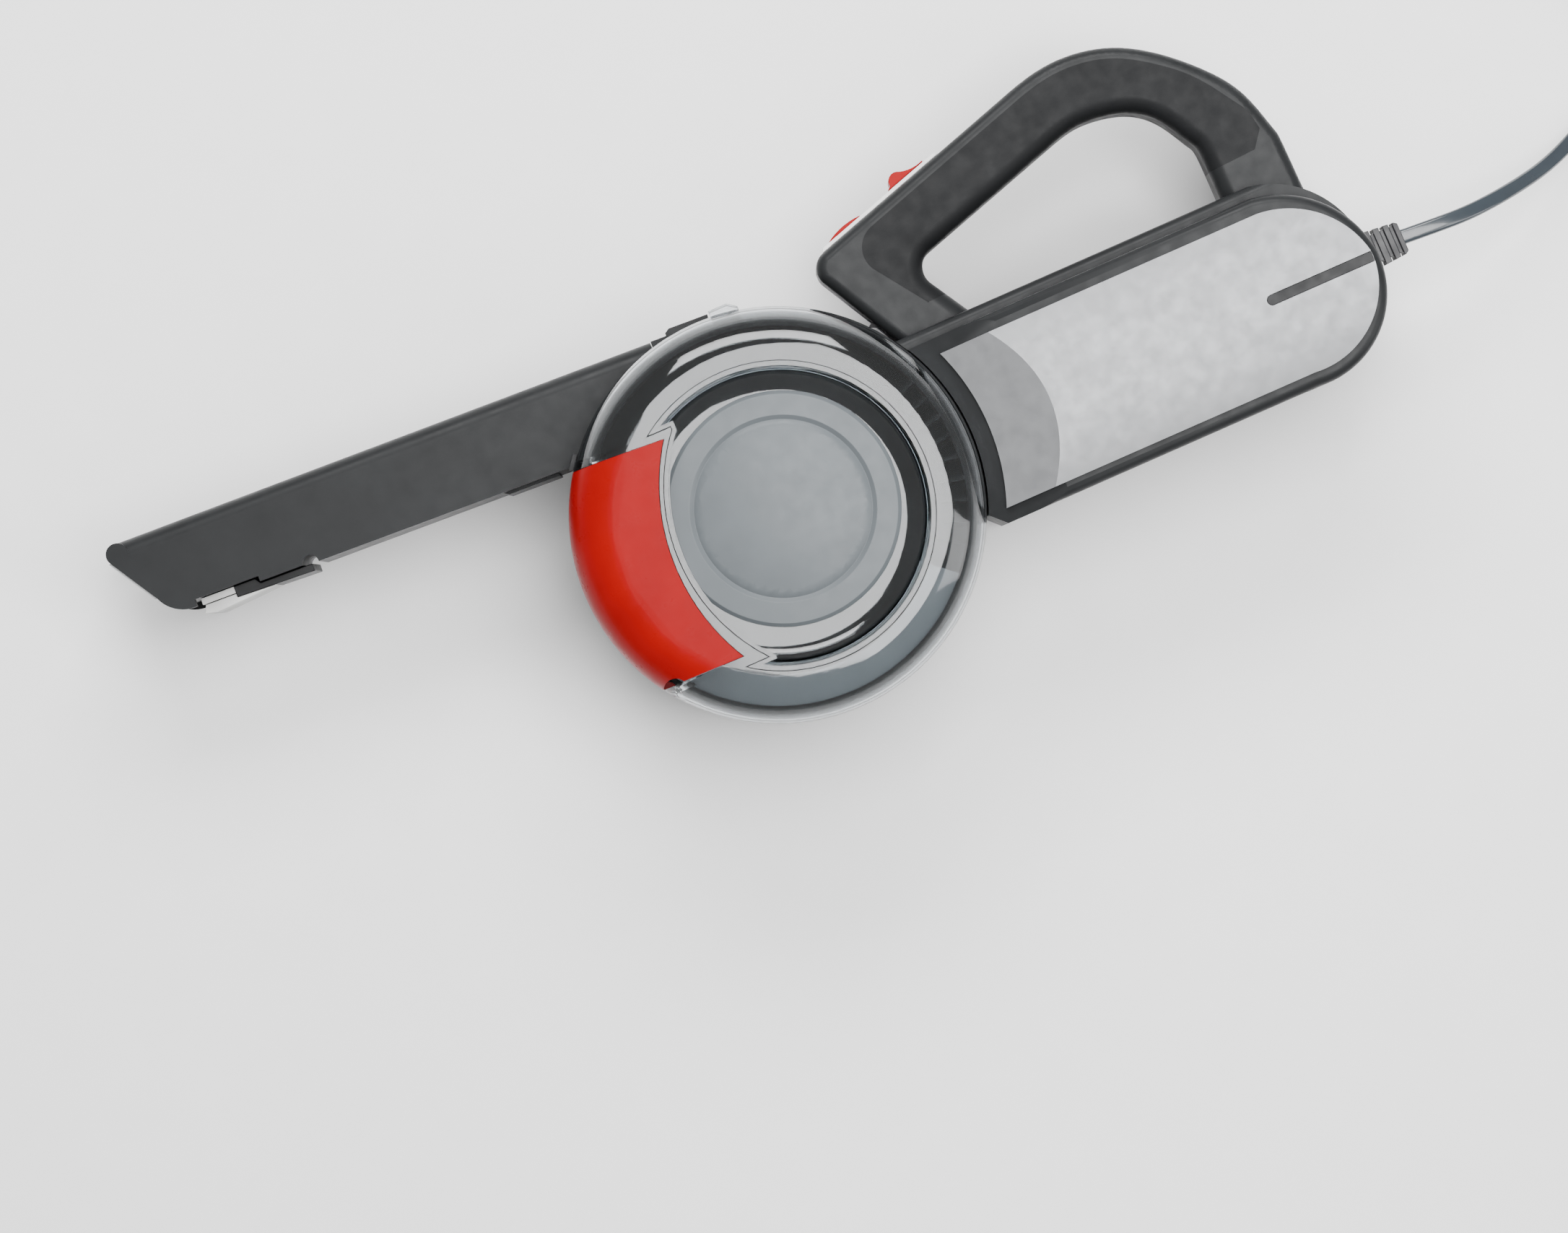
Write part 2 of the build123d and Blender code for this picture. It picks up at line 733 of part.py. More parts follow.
with BuildPart() as hub_cover:
    with BuildSketch(Plane.XY.offset(11)):
        add(hub_face(93))
        Circle(26, mode=Mode.SUBTRACT)
        with Locations(*HUB_SCREWS):
            Circle(1.6, mode=Mode.SUBTRACT)
    extrude(amount=3)
    with BuildSketch(Plane.XY.offset(12.6)):
        with Locations(*HUB_SCREWS):
            Circle(3.1)
    extrude(amount=2, mode=Mode.SUBTRACT)

with BuildPart() as hub_screws:
    for place in HUB_SCREWS:
        with Locations((place[0], place[1], 12.6)):
            Cylinder(2.9, 1.3, align=(Align.CENTER, Align.CENTER, Align.MIN))
            Cylinder(1.35, 8, align=(Align.CENTER, Align.CENTER, Align.MAX))

with BuildPart() as pivot_bearing:
    with BuildSketch(Plane.XY.offset(9.5)):
        Circle(30)
        Circle(PIVOT_BORE, mode=Mode.SUBTRACT)
    extrude(amount=1.5)
    with BuildSketch(Plane.XY.offset(11)):
        Circle(26)
        Circle(PIVOT_BORE, mode=Mode.SUBTRACT)
    extrude(amount=3.1)

with BuildPart() as felt_seal:
    with BuildSketch(Plane.XY.offset(HUB_TOP)):
        Circle(62)
        Circle(57, mode=Mode.SUBTRACT)
    extrude(amount=0.25)

# ---- drum base and nozzle ------------------------------------------------------------------------
with BuildPart() as drum_base:
    with BuildSketch(Plane.XY.offset(DRUM_FLOOR)):
        Circle(DRUM_R)
    extrude(amount=SPLIT - DRUM_FLOOR)
    with BuildSketch(Plane.XY.offset(DRUM_FLOOR + 3)):
        Circle(DRUM_R - 2.8)
    extrude(amount=72 - DRUM_FLOOR - 3, mode=Mode.SUBTRACT)
    with BuildSketch(Plane.XY.offset(71.9)):
        Circle(79.5)
    extrude(amount=5, mode=Mode.SUBTRACT)
    with BuildSketch(nozzle_plane(NOZZLE_LOW)):
        with BuildLine():
            Polyline((-24.4, 80), (0.5, 80), (0.5, 86), (-24.4, 86), close=True)
        make_face()
    extrude(amount=NOZZLE_HIGH - NOZZLE_LOW)
    with BuildSketch(nozzle_plane(58)):
        with BuildLine():
            Polyline((-17.5, 84), (-17.5, 87.0), (-15.5, 88.4), (1.6, 88.4), (1.6, 84), close=True)
        make_face()
    extrude(amount=17.8)
    with BuildSketch(nozzle_plane(24.2)):
        with Locations((-50, 67.1)):
            Rectangle(80, 32.2)
    extrude(amount=47.6, mode=Mode.SUBTRACT)
    with BuildSketch(Plane.XY.offset(8.6)):
        Circle(24)
        Circle(21, mode=Mode.SUBTRACT)
    extrude(amount=12)
    with BuildSketch(Plane.XY.offset(8)):
        Circle(21)
    extrude(amount=20, mode=Mode.SUBTRACT)
    with BuildSketch(Plane.XY.offset(8)):
        with PolarLocations(22.5, 4):
            Circle(0.95)
    extrude(amount=7, mode=Mode.SUBTRACT)

with BuildPart() as hub_retainer:
    with BuildSketch(Plane.XY.offset(6)):
        Circle(29)
        Circle(21, mode=Mode.SUBTRACT)
        with PolarLocations(22.5, 4):
            Circle(0.95, mode=Mode.SUBTRACT)
    extrude(amount=2.6)

with BuildPart() as retainer_screws:
    with BuildSketch(Plane.XY.offset(4.6)):
        with PolarLocations(22.5, 4):
            Circle(1.45)
    extrude(amount=1.4)
    with BuildSketch(Plane.XY.offset(6)):
        with PolarLocations(22.5, 4):
            Circle(0.9)
    extrude(amount=8)

with BuildPart() as nozzle_duct:
    with BuildSketch(nozzle_plane(NOZZLE_LOW)):
        with BuildLine():
            Line((-24.8, 86), (-261.5, 85))
            ThreePointArc((-261.5, 85), (-265.9, 83.3), (-266.6, 78.6))
            Line((-266.6, 78.6), (-253, 57.5))
            ThreePointArc((-253, 57.5), (-248.4, 51.6), (-240, 48.7))
            Polyline((-240, 48.7), (-50, 48.7), (-24.8, 70), (-24.8, 86))
        make_face()
    extrude(amount=NOZZLE_HIGH - NOZZLE_LOW)
    long_edges = [e for e in nozzle_duct.edges() if e.length > 150 and e.center().Y > 80]
    fillet(long_edges, radius=7.0)
    with BuildSketch(nozzle_plane(NOZZLE_LOW + 2.2)):
        with BuildLine():
            Polyline((-20, 83.2), (-262, 82.5), (-265.3, 76.6), (-273.7, 71.2), (-262.7, 54.1))
            Polyline((-262.7, 54.1), (-254.3, 59.5), (-249.5, 54.6), (-186, 54), (-184, 51), (-40, 51))
            Line((-40, 51), (-20, 83.2))
        make_face()
    extrude(amount=NOZZLE_HIGH - NOZZLE_LOW - 4.4, mode=Mode.SUBTRACT)
    with BuildSketch(Plane.XY):
        Circle(DRUM_R + 0.3)
    extrude(amount=100, mode=Mode.SUBTRACT)
    with BuildSketch(nozzle_plane(MID - 21.4)):
        with Locations((-236.3, 48)):
            Rectangle(51.6, 7.4)
        with Locations((-199.3, 47)):
            Rectangle(23.8, 4.8)
    extrude(amount=42.8, mode=Mode.SUBTRACT)
    with BuildSketch(nozzle_plane(NOZZLE_LOW - 1)):
        with Locations((-224.5, 48)):
            Rectangle(28, 7.4)
        with Locations((-199.3, 47)):
            Rectangle(23.8, 4.8)
        with Locations((-188.3, 49)):
            Circle(3.5)
    extrude(amount=NOZZLE_HIGH, mode=Mode.SUBTRACT)
    with BuildSketch(nozzle_plane(NOZZLE_LOW + 8)):
        with BuildLine():
            Polyline((-104, 49), (-101.5, 47.4), (-79, 47.4), (-79, 49), close=True)
        make_face()
    extrude(amount=36)

MOUTH = Plane(
    origin=nozzle_plane(MID).from_local_coords((-259.8, 68.05, 0)),
    x_dir=nozzle_plane(0).from_local_coords(Vector(0.542, -0.841, 0)),
    z_dir=nozzle_plane(0).from_local_coords(Vector(-0.841, -0.542, 0)),
)
with BuildPart() as nozzle_lip:
    with BuildSketch(MOUTH):
        Rectangle(23.6, 49)
        Rectangle(20.4, 46, mode=Mode.SUBTRACT)
    extrude(amount=0.9)

with BuildPart() as baffle_ring:
    with BuildSketch(Plane.XZ):
        with Locations((72.7, 73)):
            Rectangle(13.6, 2)
    revolve(axis=Axis.Z)
    with BuildSketch(Plane.XY.offset(70)):
        with BuildLine():
            Polyline((0, 0), (-140, -14), (-100, -140), (60, -140), (100, -88), close=True)
        make_face()
    extrude(amount=6, mode=Mode.INTERSECT)

with BuildPart() as air_louvre:
    with BuildSketch(Plane.XY.offset(58)):
        Circle(68)
        Circle(66, mode=Mode.SUBTRACT)
        with PolarLocations(73.6, 9, start_angle=-32, angular_range=60):
            Rectangle(11.5, 1.6)
        with BuildLine():
            Polyline((0, 0), (120, -75), (120, 66), close=True)
        make_face(mode=Mode.INTERSECT)
    extrude(amount=18)

# ---- brush ---------------------------------------------------------------------------------------
with BuildPart() as brush_carrier:
    with BuildSketch(nozzle_plane(MID - 21)):
        with BuildLine():
            Polyline((-222, 46.6), (-188, 45.7), (-188, 48.9), (-211, 48.9), (-212.5, 51.3), (-222, 51.3))
            Line((-222, 51.3), (-222, 46.6))
        make_face()
    extrude(amount=42)

with BuildPart() as brush_bristles:
    with BuildSketch(nozzle_plane(MID - 20.5)):
        with BuildLine():
            Polyline((-236.6, 48.5), (-222, 48.5), (-222, 51.3), (-236.6, 51.3), close=True)
        make_face()
        with BuildLine():
            Polyline((-237, 44.9), (-235.5, 48.1), (-222, 48.1), (-222, 46.5), (-205, 46), (-232, 43.6))
            Line((-232, 43.6), (-237, 44.9))
        make_face()
    extrude(amount=41)

# ---- clear bowl, dust door and filter ------------------------------------------------------------
with BuildPart() as bowl_blank:
    add(bowl_profile(BOWL_TOP, 0.01, 2.0))
    revolve(axis=Axis.Z)
    with BuildSketch(Plane.XY.offset(60)):
        add(door_face(0.3))
        add(cap_face(0.4))
    extrude(amount=60, mode=Mode.SUBTRACT)
with BuildPart() as bowl_frame:
    add(bowl_profile(BOWL_TOP, 30, 5.0))
    revolve(axis=Axis.Z)
    with BuildSketch(Plane.XY.offset(60)):
        add(frame_bars_face())
        add(cap_face(0.4), mode=Mode.SUBTRACT)
    extrude(amount=60, mode=Mode.INTERSECT)
with BuildPart() as bowl_shell:
    add(bowl_blank.part)
    add(bowl_frame.part)
    with Locations((HINGE_AT[0], HINGE_AT[1], 87)):
        Cylinder(5.6, 10.6, mode=Mode.SUBTRACT)
    for low, high in ((78.6, 81.6), (92.4, 95.0)):
        with Locations((HINGE_AT[0], HINGE_AT[1], (low + high) / 2)):
            Cylinder(2.3, high - low)
    with Locations((HINGE_AT[0], HINGE_AT[1], 86.8)):
        Cylinder(1.22, 18, mode=Mode.SUBTRACT)

with BuildPart() as bowl_seal:
    with BuildSketch(Plane.XY.offset(SPLIT + 0.1)):
        Circle(DRUM_R - 0.2)
        Circle(DRUM_R - 2, mode=Mode.SUBTRACT)
    extrude(amount=0.3)

with BuildPart() as bowl_clip:
    with BuildSketch(Plane.XY.offset(68)):
        with BuildLine():
            Polyline((7.4, 84), (7.4, 88.2), (15.5, 88.2), (19.3, 85.4), (19.3, 82), close=True)
        make_face()
    extrude(amount=24)
    with BuildSketch(Plane.XY.offset(60)):
        Circle(DRUM_R + 0.02)
    extrude(amount=40, mode=Mode.SUBTRACT)
    with BuildSketch(Plane.XY.offset(60)):
        Circle(DRUM_R + 0.4)
    extrude(amount=SPLIT + 0.3 - 60, mode=Mode.SUBTRACT)

with BuildPart() as hinge_pin:
    with Locations((HINGE_AT[0], HINGE_AT[1], 86.8)):
        Cylinder(1.2, 16.4)

with BuildPart() as door_catch:
    with BuildSketch(Plane.XY.offset(82)):
        with BuildLine():
            Polyline((-69.5, 50.3), (-71.4, 51.7), (-67.1, 57.1), (-65.2, 55.7), close=True)
        make_face()
        Circle(DRUM_R + 0.02, mode=Mode.SUBTRACT)
    extrude(amount=9)

with BuildPart() as dust_door:
    add(bowl_profile(DOOR_TOP, 30, 2.0))
    revolve(axis=Axis.Z)
    with BuildSketch(Plane.XY.offset(60)):
        add(door_face())
    extrude(amount=60, mode=Mode.INTERSECT)
    for middle, height in ((77, 10), (105, 26)):
        with Locations((HINGE_AT[0], HINGE_AT[1], middle)):
            Cylinder(5.4, height, mode=Mode.SUBTRACT)
    with BuildSketch(Plane.XY.offset(82.2)):
        with BuildLine():
            Polyline((-68.6, -49.4), (-71.6, -46.6), (-70.6, -43.5), (-67.6, -45.5), (-66, -48.5), close=True)
        make_face()
        with Locations(HINGE_AT):
            Circle(2.3)
            Circle(1.26, mode=Mode.SUBTRACT)
    extrude(amount=9.6)
    with BuildSketch(Plane.XY.offset(80)):
        with Locations(HINGE_AT):
            Circle(1.26)
    extrude(amount=14, mode=Mode.SUBTRACT)

CAP_AXIS = Axis((CAP_AT[0], CAP_AT[1], 0), (0, 0, 1))
RIM_Z = 112.5
DISH_Z = 102.0
DISH_R = 10.5
BEND_X = CAP_AT[0] + CAP_R - 2 - DISH_R
with BuildPart() as cap_dish:
    with BuildSketch(Plane.XZ.offset(-CAP_AT[1])):
        with BuildLine():
            reach = DISH_R * cos(pi / 4)
            reach_out = (DISH_R + 2) * cos(pi / 4)
            Line((CAP_AT[0], DISH_Z), (BEND_X, DISH_Z))
            ThreePointArc((BEND_X, DISH_Z), (BEND_X + reach, RIM_Z - reach), (BEND_X + DISH_R, RIM_Z))
            Line((BEND_X + DISH_R, RIM_Z), (BEND_X + DISH_R + 2, RIM_Z))
            ThreePointArc(
                (BEND_X + DISH_R + 2, RIM_Z), (BEND_X + reach_out, RIM_Z - reach_out), (BEND_X, DISH_Z - 2)
            )
            Polyline((BEND_X, DISH_Z - 2), (CAP_AT[0], DISH_Z - 2), (CAP_AT[0], DISH_Z))
        make_face()
    revolve(axis=CAP_AXIS)
    with BuildSketch(Plane.XY.offset(90)):
        add(cap_face())
    extrude(amount=40, mode=Mode.INTERSECT)
with BuildPart() as filter_cap:
    add(cap_dish.part)
    with BuildSketch(Plane.XY.offset(DISH_Z - 2)):
        add(cap_face())
        add(cap_face(-1.6), mode=Mode.SUBTRACT)
    extrude(amount=RIM_Z - DISH_Z + 2)

DISC_X = DISC_AT[0]
with BuildPart() as cap_disc:
    with BuildSketch(Plane.XZ.offset(-DISC_AT[1])):
        with BuildLine():
            Polyline((DISC_X, DISH_Z), (DISC_X + 46, DISH_Z), (DISC_X + 48.5, 102.7), (DISC_X + 48.5, 104))
            Polyline((DISC_X + 48.5, 104), (DISC_X + 47, 105.2), (DISC_X + 38.4, 105.6))
            Polyline((DISC_X + 38.4, 105.6), (DISC_X + 36.6, 104.4), (DISC_X + 34.8, 105.6))
            ThreePointArc((DISC_X + 34.8, 105.6), (DISC_X + 18, 107.7), (DISC_X + 1, 108.4))
            Polyline((DISC_X + 1, 108.4), (DISC_X, 108.4), (DISC_X, DISH_Z))
        make_face()
    revolve(axis=Axis((DISC_X, DISC_AT[1], 0), (0, 0, 1)))
    with BuildSketch(Plane.XY.offset(90)):
        with Locations((33.7, -2)):
            Circle(75.8)
    extrude(amount=40, mode=Mode.INTERSECT)

FILTER_LOW = 22.0
FILTER_TOP = DISH_Z - 2
with BuildPart() as filter_frame:
    with BuildSketch(Plane.XY.offset(FILTER_LOW)):
        Circle(42.5)
        Circle(22, mode=Mode.SUBTRACT)
    extrude(amount=3)
    with BuildSketch(Plane.XY.offset(FILTER_TOP - 4)):
        Circle(41.5)
        Circle(26, mode=Mode.SUBTRACT)
    extrude(amount=4)
    with BuildSketch(Plane.XY.offset(FILTER_LOW)):
        with PolarLocations(28.2, 8):
            Rectangle(2.4, 3)
    extrude(amount=FILTER_TOP - FILTER_LOW - 1)

with BuildPart() as pleated_filter:
    with BuildSketch(Plane.XY.offset(FILTER_LOW + 3)):
        with BuildLine():
            pleats = []
            for i in range(72):
                reach = 40.3 if i % 2 else 33.0
                pleats.append((reach * cos(2 * pi * i / 72), reach * sin(2 * pi * i / 72)))
            Polyline(*pleats, close=True)
        make_face()
        Circle(30, mode=Mode.SUBTRACT)
    extrude(amount=FILTER_TOP - FILTER_LOW - 7)

with BuildPart() as prefilter_sleeve:
    with BuildSketch(Plane.XY.offset(FILTER_LOW + 3)):
        Circle(42.5)
        Circle(41.6, mode=Mode.SUBTRACT)
    extrude(amount=FILTER_TOP - FILTER_LOW - 9)
    for level in (36, 52, 68, 84):
        with BuildSketch(Plane.XY.offset(level - 6.5)):
            with PolarLocations(42, 14):
                Rectangle(6, 12)
        extrude(amount=13, mode=Mode.SUBTRACT)

# ---- cord and plug -------------------------------------------------------------------------------
LEAD_ROUTE = [
    (286, 2, 48),
    (301, 0.9, 47.4),
    (316, 0.2, 44.5),
    (331, 1.2, 38),
    (345, 3.0, 28.5),
    (358, 5.6, 18.5),
    (371, 10, 9.5),
    (385, 16.5, 3.2),
    (399, 26, CORD_R),
    (410, 39, CORD_R),
    (416, 55, CORD_R),
]
TAIL_ROUTE = [
    (494, 47, 24.9),
    (495.3, 36, 24.0),
    (496, 24, 20.5),
    (496.6, 12, 16.2),
    (PLUG_X, 3, 13.8),
    (PLUG_X, PLUG_REAR, PLUG_R),
]


def tube(route):
    """Straight runs joined by the largest tangent arcs that they allow."""
    points = [Vector(*p) for p in route]
    radii = []
    for before, here, after in zip(points, points[1:], points[2:]):
        turn = (here - before).get_angle(after - here)
        shorter = min((here - before).length, (after - here).length)
        radii.append(0.45 * shorter / tan(radians(turn) / 2))
    print("cord arc radii", [round(r, 1) for r in radii])
    with BuildPart() as cord:
        with BuildLine() as path:
            FilletPolyline(*route, radius=radii)
        with BuildSketch(Plane(origin=path.line @ 0, z_dir=path.line % 0)):
            Circle(CORD_R)
        sweep()
    length = sum(edge.length for edge in path.edges())
    ratio = cord.part.volume / (pi * CORD_R**2 * length)
    print("cord length", round(length, 1), "volume ratio", round(ratio, 4))
    return cord.part


with BuildPart() as cord_lead:
    add(tube(LEAD_ROUTE))

with BuildPart() as cord_tail:
    add(tube(TAIL_ROUTE))

with BuildPart() as cord_coil:
    with BuildSketch(Plane.XY.offset(COIL_LOW)):
        with Locations(COIL_AT):
            Circle(COIL_OUT)
            Circle(COIL_IN, mode=Mode.SUBTRACT)
    extrude(amount=COIL_HIGH - COIL_LOW)

with BuildPart() as cord_tie:
    with BuildSketch(Plane(origin=(COIL_AT[0] - 6, COIL_AT[1], 0), x_dir=(0, 1, 0), z_dir=(1, 0, 0))):
        with Locations(((COIL_IN + COIL_OUT) / 2, (COIL_LOW + COIL_HIGH) / 2)):
            Rectangle(COIL_OUT - COIL_IN + 3.5, COIL_HIGH - COIL_LOW + 1.9)
            Rectangle(COIL_OUT - COIL_IN + 2.0, COIL_HIGH - COIL_LOW + 0.4, mode=Mode.SUBTRACT)
    extrude(amount=12)


def plug_plane(along):
    """A plane across the plug, a distance from its rear end towards its nose (-Y)."""
    return Plane(origin=(PLUG_X, PLUG_REAR - along, PLUG_R), x_dir=(1, 0, 0), z_dir=(0, -1, 0))


with BuildPart() as plug_body:
    with BuildSketch(plug_plane(0)):
        Circle(6)
    with BuildSketch(plug_plane(10)):
        Circle(PLUG_R - 1)
    loft()
    with BuildSketch(plug_plane(10)):
        Circle(PLUG_R)
    extrude(amount=22)
    with BuildSketch(plug_plane(12)):
        with PolarLocations(PLUG_R, 16):
            Circle(0.9)
    extrude(amount=18, mode=Mode.SUBTRACT)
    with BuildSketch(plug_plane(32)):
        Circle(10.4)
    extrude(amount=28)
    with BuildSketch(plug_plane(45)):
        Circle(2.6)
    extrude(amount=20, mode=Mode.SUBTRACT)
    for side in (1, -1):
        with Locations((PLUG_X + side * 10.2, PLUG_REAR - 47, PLUG_R)):
            Box(2.4, 16.4, 5.4, mode=Mode.SUBTRACT)

with BuildPart() as plug_springs:
    for side in (1, -1):
        with BuildSketch(Plane.XY.offset(PLUG_R - 2.4)):
            with BuildLine():
                inner = PLUG_X + side * 9.1
                Line((inner, PLUG_REAR - 39.2), (inner, PLUG_REAR - 54.8))
                crest = (PLUG_X + side * 11.6, PLUG_REAR - 47)
                ThreePointArc((inner, PLUG_REAR - 54.8), crest, (inner, PLUG_REAR - 39.2))
            make_face()
        extrude(amount=4.8)

with BuildPart() as plug_nose:
    with BuildSketch(plug_plane(60)):
        Circle(10)
    with BuildSketch(plug_plane(69)):
        Circle(6.4)
    loft()
    with BuildSketch(plug_plane(59)):
        Circle(2.6)
    extrude(amount=12, mode=Mode.SUBTRACT)

with BuildPart() as plug_tip:
    with BuildSketch(plug_plane(49)):
        Circle(2.55)
    extrude(amount=22)
    with BuildSketch(plug_plane(71)):
        Circle(2.55)
    with BuildSketch(plug_plane(73)):
        Circle(1.2)
    loft()

pieces = {
    "housing_near": housing_near,
    "housing_far": housing_far,
    "grip_near": grip_near,
    "grip_far": grip_far,
    "housing_screws": housing_screws,
    "side_panel_near": side_panel_near,
    "side_panel_far": side_panel_far,
    "panel_inlay_near": panel_inlay_near,
    "panel_inlay_far": panel_inlay_far,
    "switch_plate": switch_plate,
    "power_slider": power_slider,
    "release_button": release_button,
    "release_rod": release_rod,
    "main_switch": main_switch,
    "strain_relief": strain_relief,
    "motor_can": motor_can,
    "motor_magnets": motor_magnets,
    "motor_endcap": motor_endcap,
    "motor_shaft": motor_shaft,
    "armature": armature,
    "commutator": commutator,
    "impeller": impeller,
    "fan_shroud": fan_shroud,
    "fan_guard": fan_guard,
    "motor_mount_front": motor_mount_front,
    "motor_mount_rear": motor_mount_rear,
    "lead_wires": lead_wires,
    "hub_housing": hub_housing,
    "hub_cover": hub_cover,
    "hub_screws": hub_screws,
    "pivot_bearing": pivot_bearing,
    "felt_seal": felt_seal,
    "drum_base": drum_base,
    "hub_retainer": hub_retainer,
    "retainer_screws": retainer_screws,
    "nozzle_duct": nozzle_duct,
    "nozzle_lip": nozzle_lip,
    "baffle_ring": baffle_ring,
    "air_louvre": air_louvre,
    "brush_carrier": brush_carrier,
    "brush_bristles": brush_bristles,
    "bowl_shell": bowl_shell,
    "bowl_seal": bowl_seal,
    "bowl_clip": bowl_clip,
    "hinge_pin": hinge_pin,
    "door_catch": door_catch,
    "dust_door": dust_door,
    "filter_cap": filter_cap,
    "cap_disc": cap_disc,
    "filter_frame": filter_frame,
    "pleated_filter": pleated_filter,
    "prefilter_sleeve": prefilter_sleeve,
    "cord_lead": cord_lead,
    "cord_tail": cord_tail,
    "cord_coil": cord_coil,
    "cord_tie": cord_tie,
    "plug_body": plug_body,
    "plug_springs": plug_springs,
    "plug_nose": plug_nose,
    "plug_tip": plug_tip,
}
for name, piece in pieces.items():
    piece.part.label = name
    export_step(piece.part, f"parts/{name}.step")
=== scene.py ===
"""Looks of a handheld car vacuum lying on its side: rounded shells, smoked bowl, coiled twin cord."""

import json
import math

import bmesh
import bpy
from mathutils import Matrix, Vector


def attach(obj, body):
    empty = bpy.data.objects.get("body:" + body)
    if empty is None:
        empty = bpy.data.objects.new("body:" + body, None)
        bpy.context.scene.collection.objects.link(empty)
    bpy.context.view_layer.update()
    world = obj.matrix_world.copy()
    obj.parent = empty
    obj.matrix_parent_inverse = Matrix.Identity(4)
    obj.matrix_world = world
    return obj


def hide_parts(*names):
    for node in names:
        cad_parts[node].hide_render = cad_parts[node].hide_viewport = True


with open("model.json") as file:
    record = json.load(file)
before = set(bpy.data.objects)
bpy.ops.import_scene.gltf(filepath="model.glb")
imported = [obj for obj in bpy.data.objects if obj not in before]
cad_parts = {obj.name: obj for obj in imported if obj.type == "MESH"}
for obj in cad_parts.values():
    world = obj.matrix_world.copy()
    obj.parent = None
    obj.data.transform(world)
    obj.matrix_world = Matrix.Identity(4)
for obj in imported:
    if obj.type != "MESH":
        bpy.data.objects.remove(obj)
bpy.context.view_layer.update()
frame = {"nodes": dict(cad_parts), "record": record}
NODES = frame["nodes"]
BODY_OF = {node: body for body, members in frame["record"]["behaviour"]["bodies"].items() for node in members}

# ---- camera, floor and light ---------------------------------------------------------------------
MM = 0.001
ROLL = math.radians(-23.75)
LOOK_AT = Vector((-0.0145, -0.0392, 0.084))
CAMERA_HEIGHT = 2.4
VIEW_WIDTH = 0.6468
SENSOR = 36.0

camera_data = bpy.data.cameras.new("camera")
camera_data.sensor_width = SENSOR
camera_data.lens = SENSOR * CAMERA_HEIGHT / VIEW_WIDTH
camera = bpy.data.objects.new("camera", camera_data)
camera.location = LOOK_AT + Vector((0, 0, CAMERA_HEIGHT))
camera.rotation_euler = (0, 0, ROLL)
bpy.context.scene.collection.objects.link(camera)
bpy.context.scene.camera = camera


def seen(across, up, height):
    """World position of a place given along the camera's right and up, about the point looked at."""
    c, s = math.cos(ROLL), math.sin(ROLL)
    return Vector((LOOK_AT.x + across * c - up * s, LOOK_AT.y + across * s + up * c, height))


def softbox(name, across, up, height, width, depth, power):
    data = bpy.data.lights.new(name, "AREA")
    data.shape = "RECTANGLE"
    data.size = width
    data.size_y = depth
    data.energy = power
    lamp = bpy.data.objects.new(name, data)
    lamp.location = seen(across, up, height)
    aim = seen(0, 0, 0.05) - lamp.location
    lamp.rotation_mode = "QUATERNION"
    lamp.rotation_quaternion = aim.to_track_quat("-Z", "Y")
    bpy.context.scene.collection.objects.link(lamp)


softbox("key", -0.15, 1.15, 1.05, 1.1, 0.5, 26)
softbox("top", 0.35, 0.30, 2.0, 1.5, 1.1, 62)
softbox("side", 1.3, -0.2, 0.9, 0.5, 1.2, 9)

world = bpy.data.worlds.new("studio")
world.use_nodes = True
world.node_tree.nodes["Background"].inputs["Color"].default_value = (1, 1, 1, 1)
world.node_tree.nodes["Background"].inputs["Strength"].default_value = 0.62
bpy.context.scene.world = world


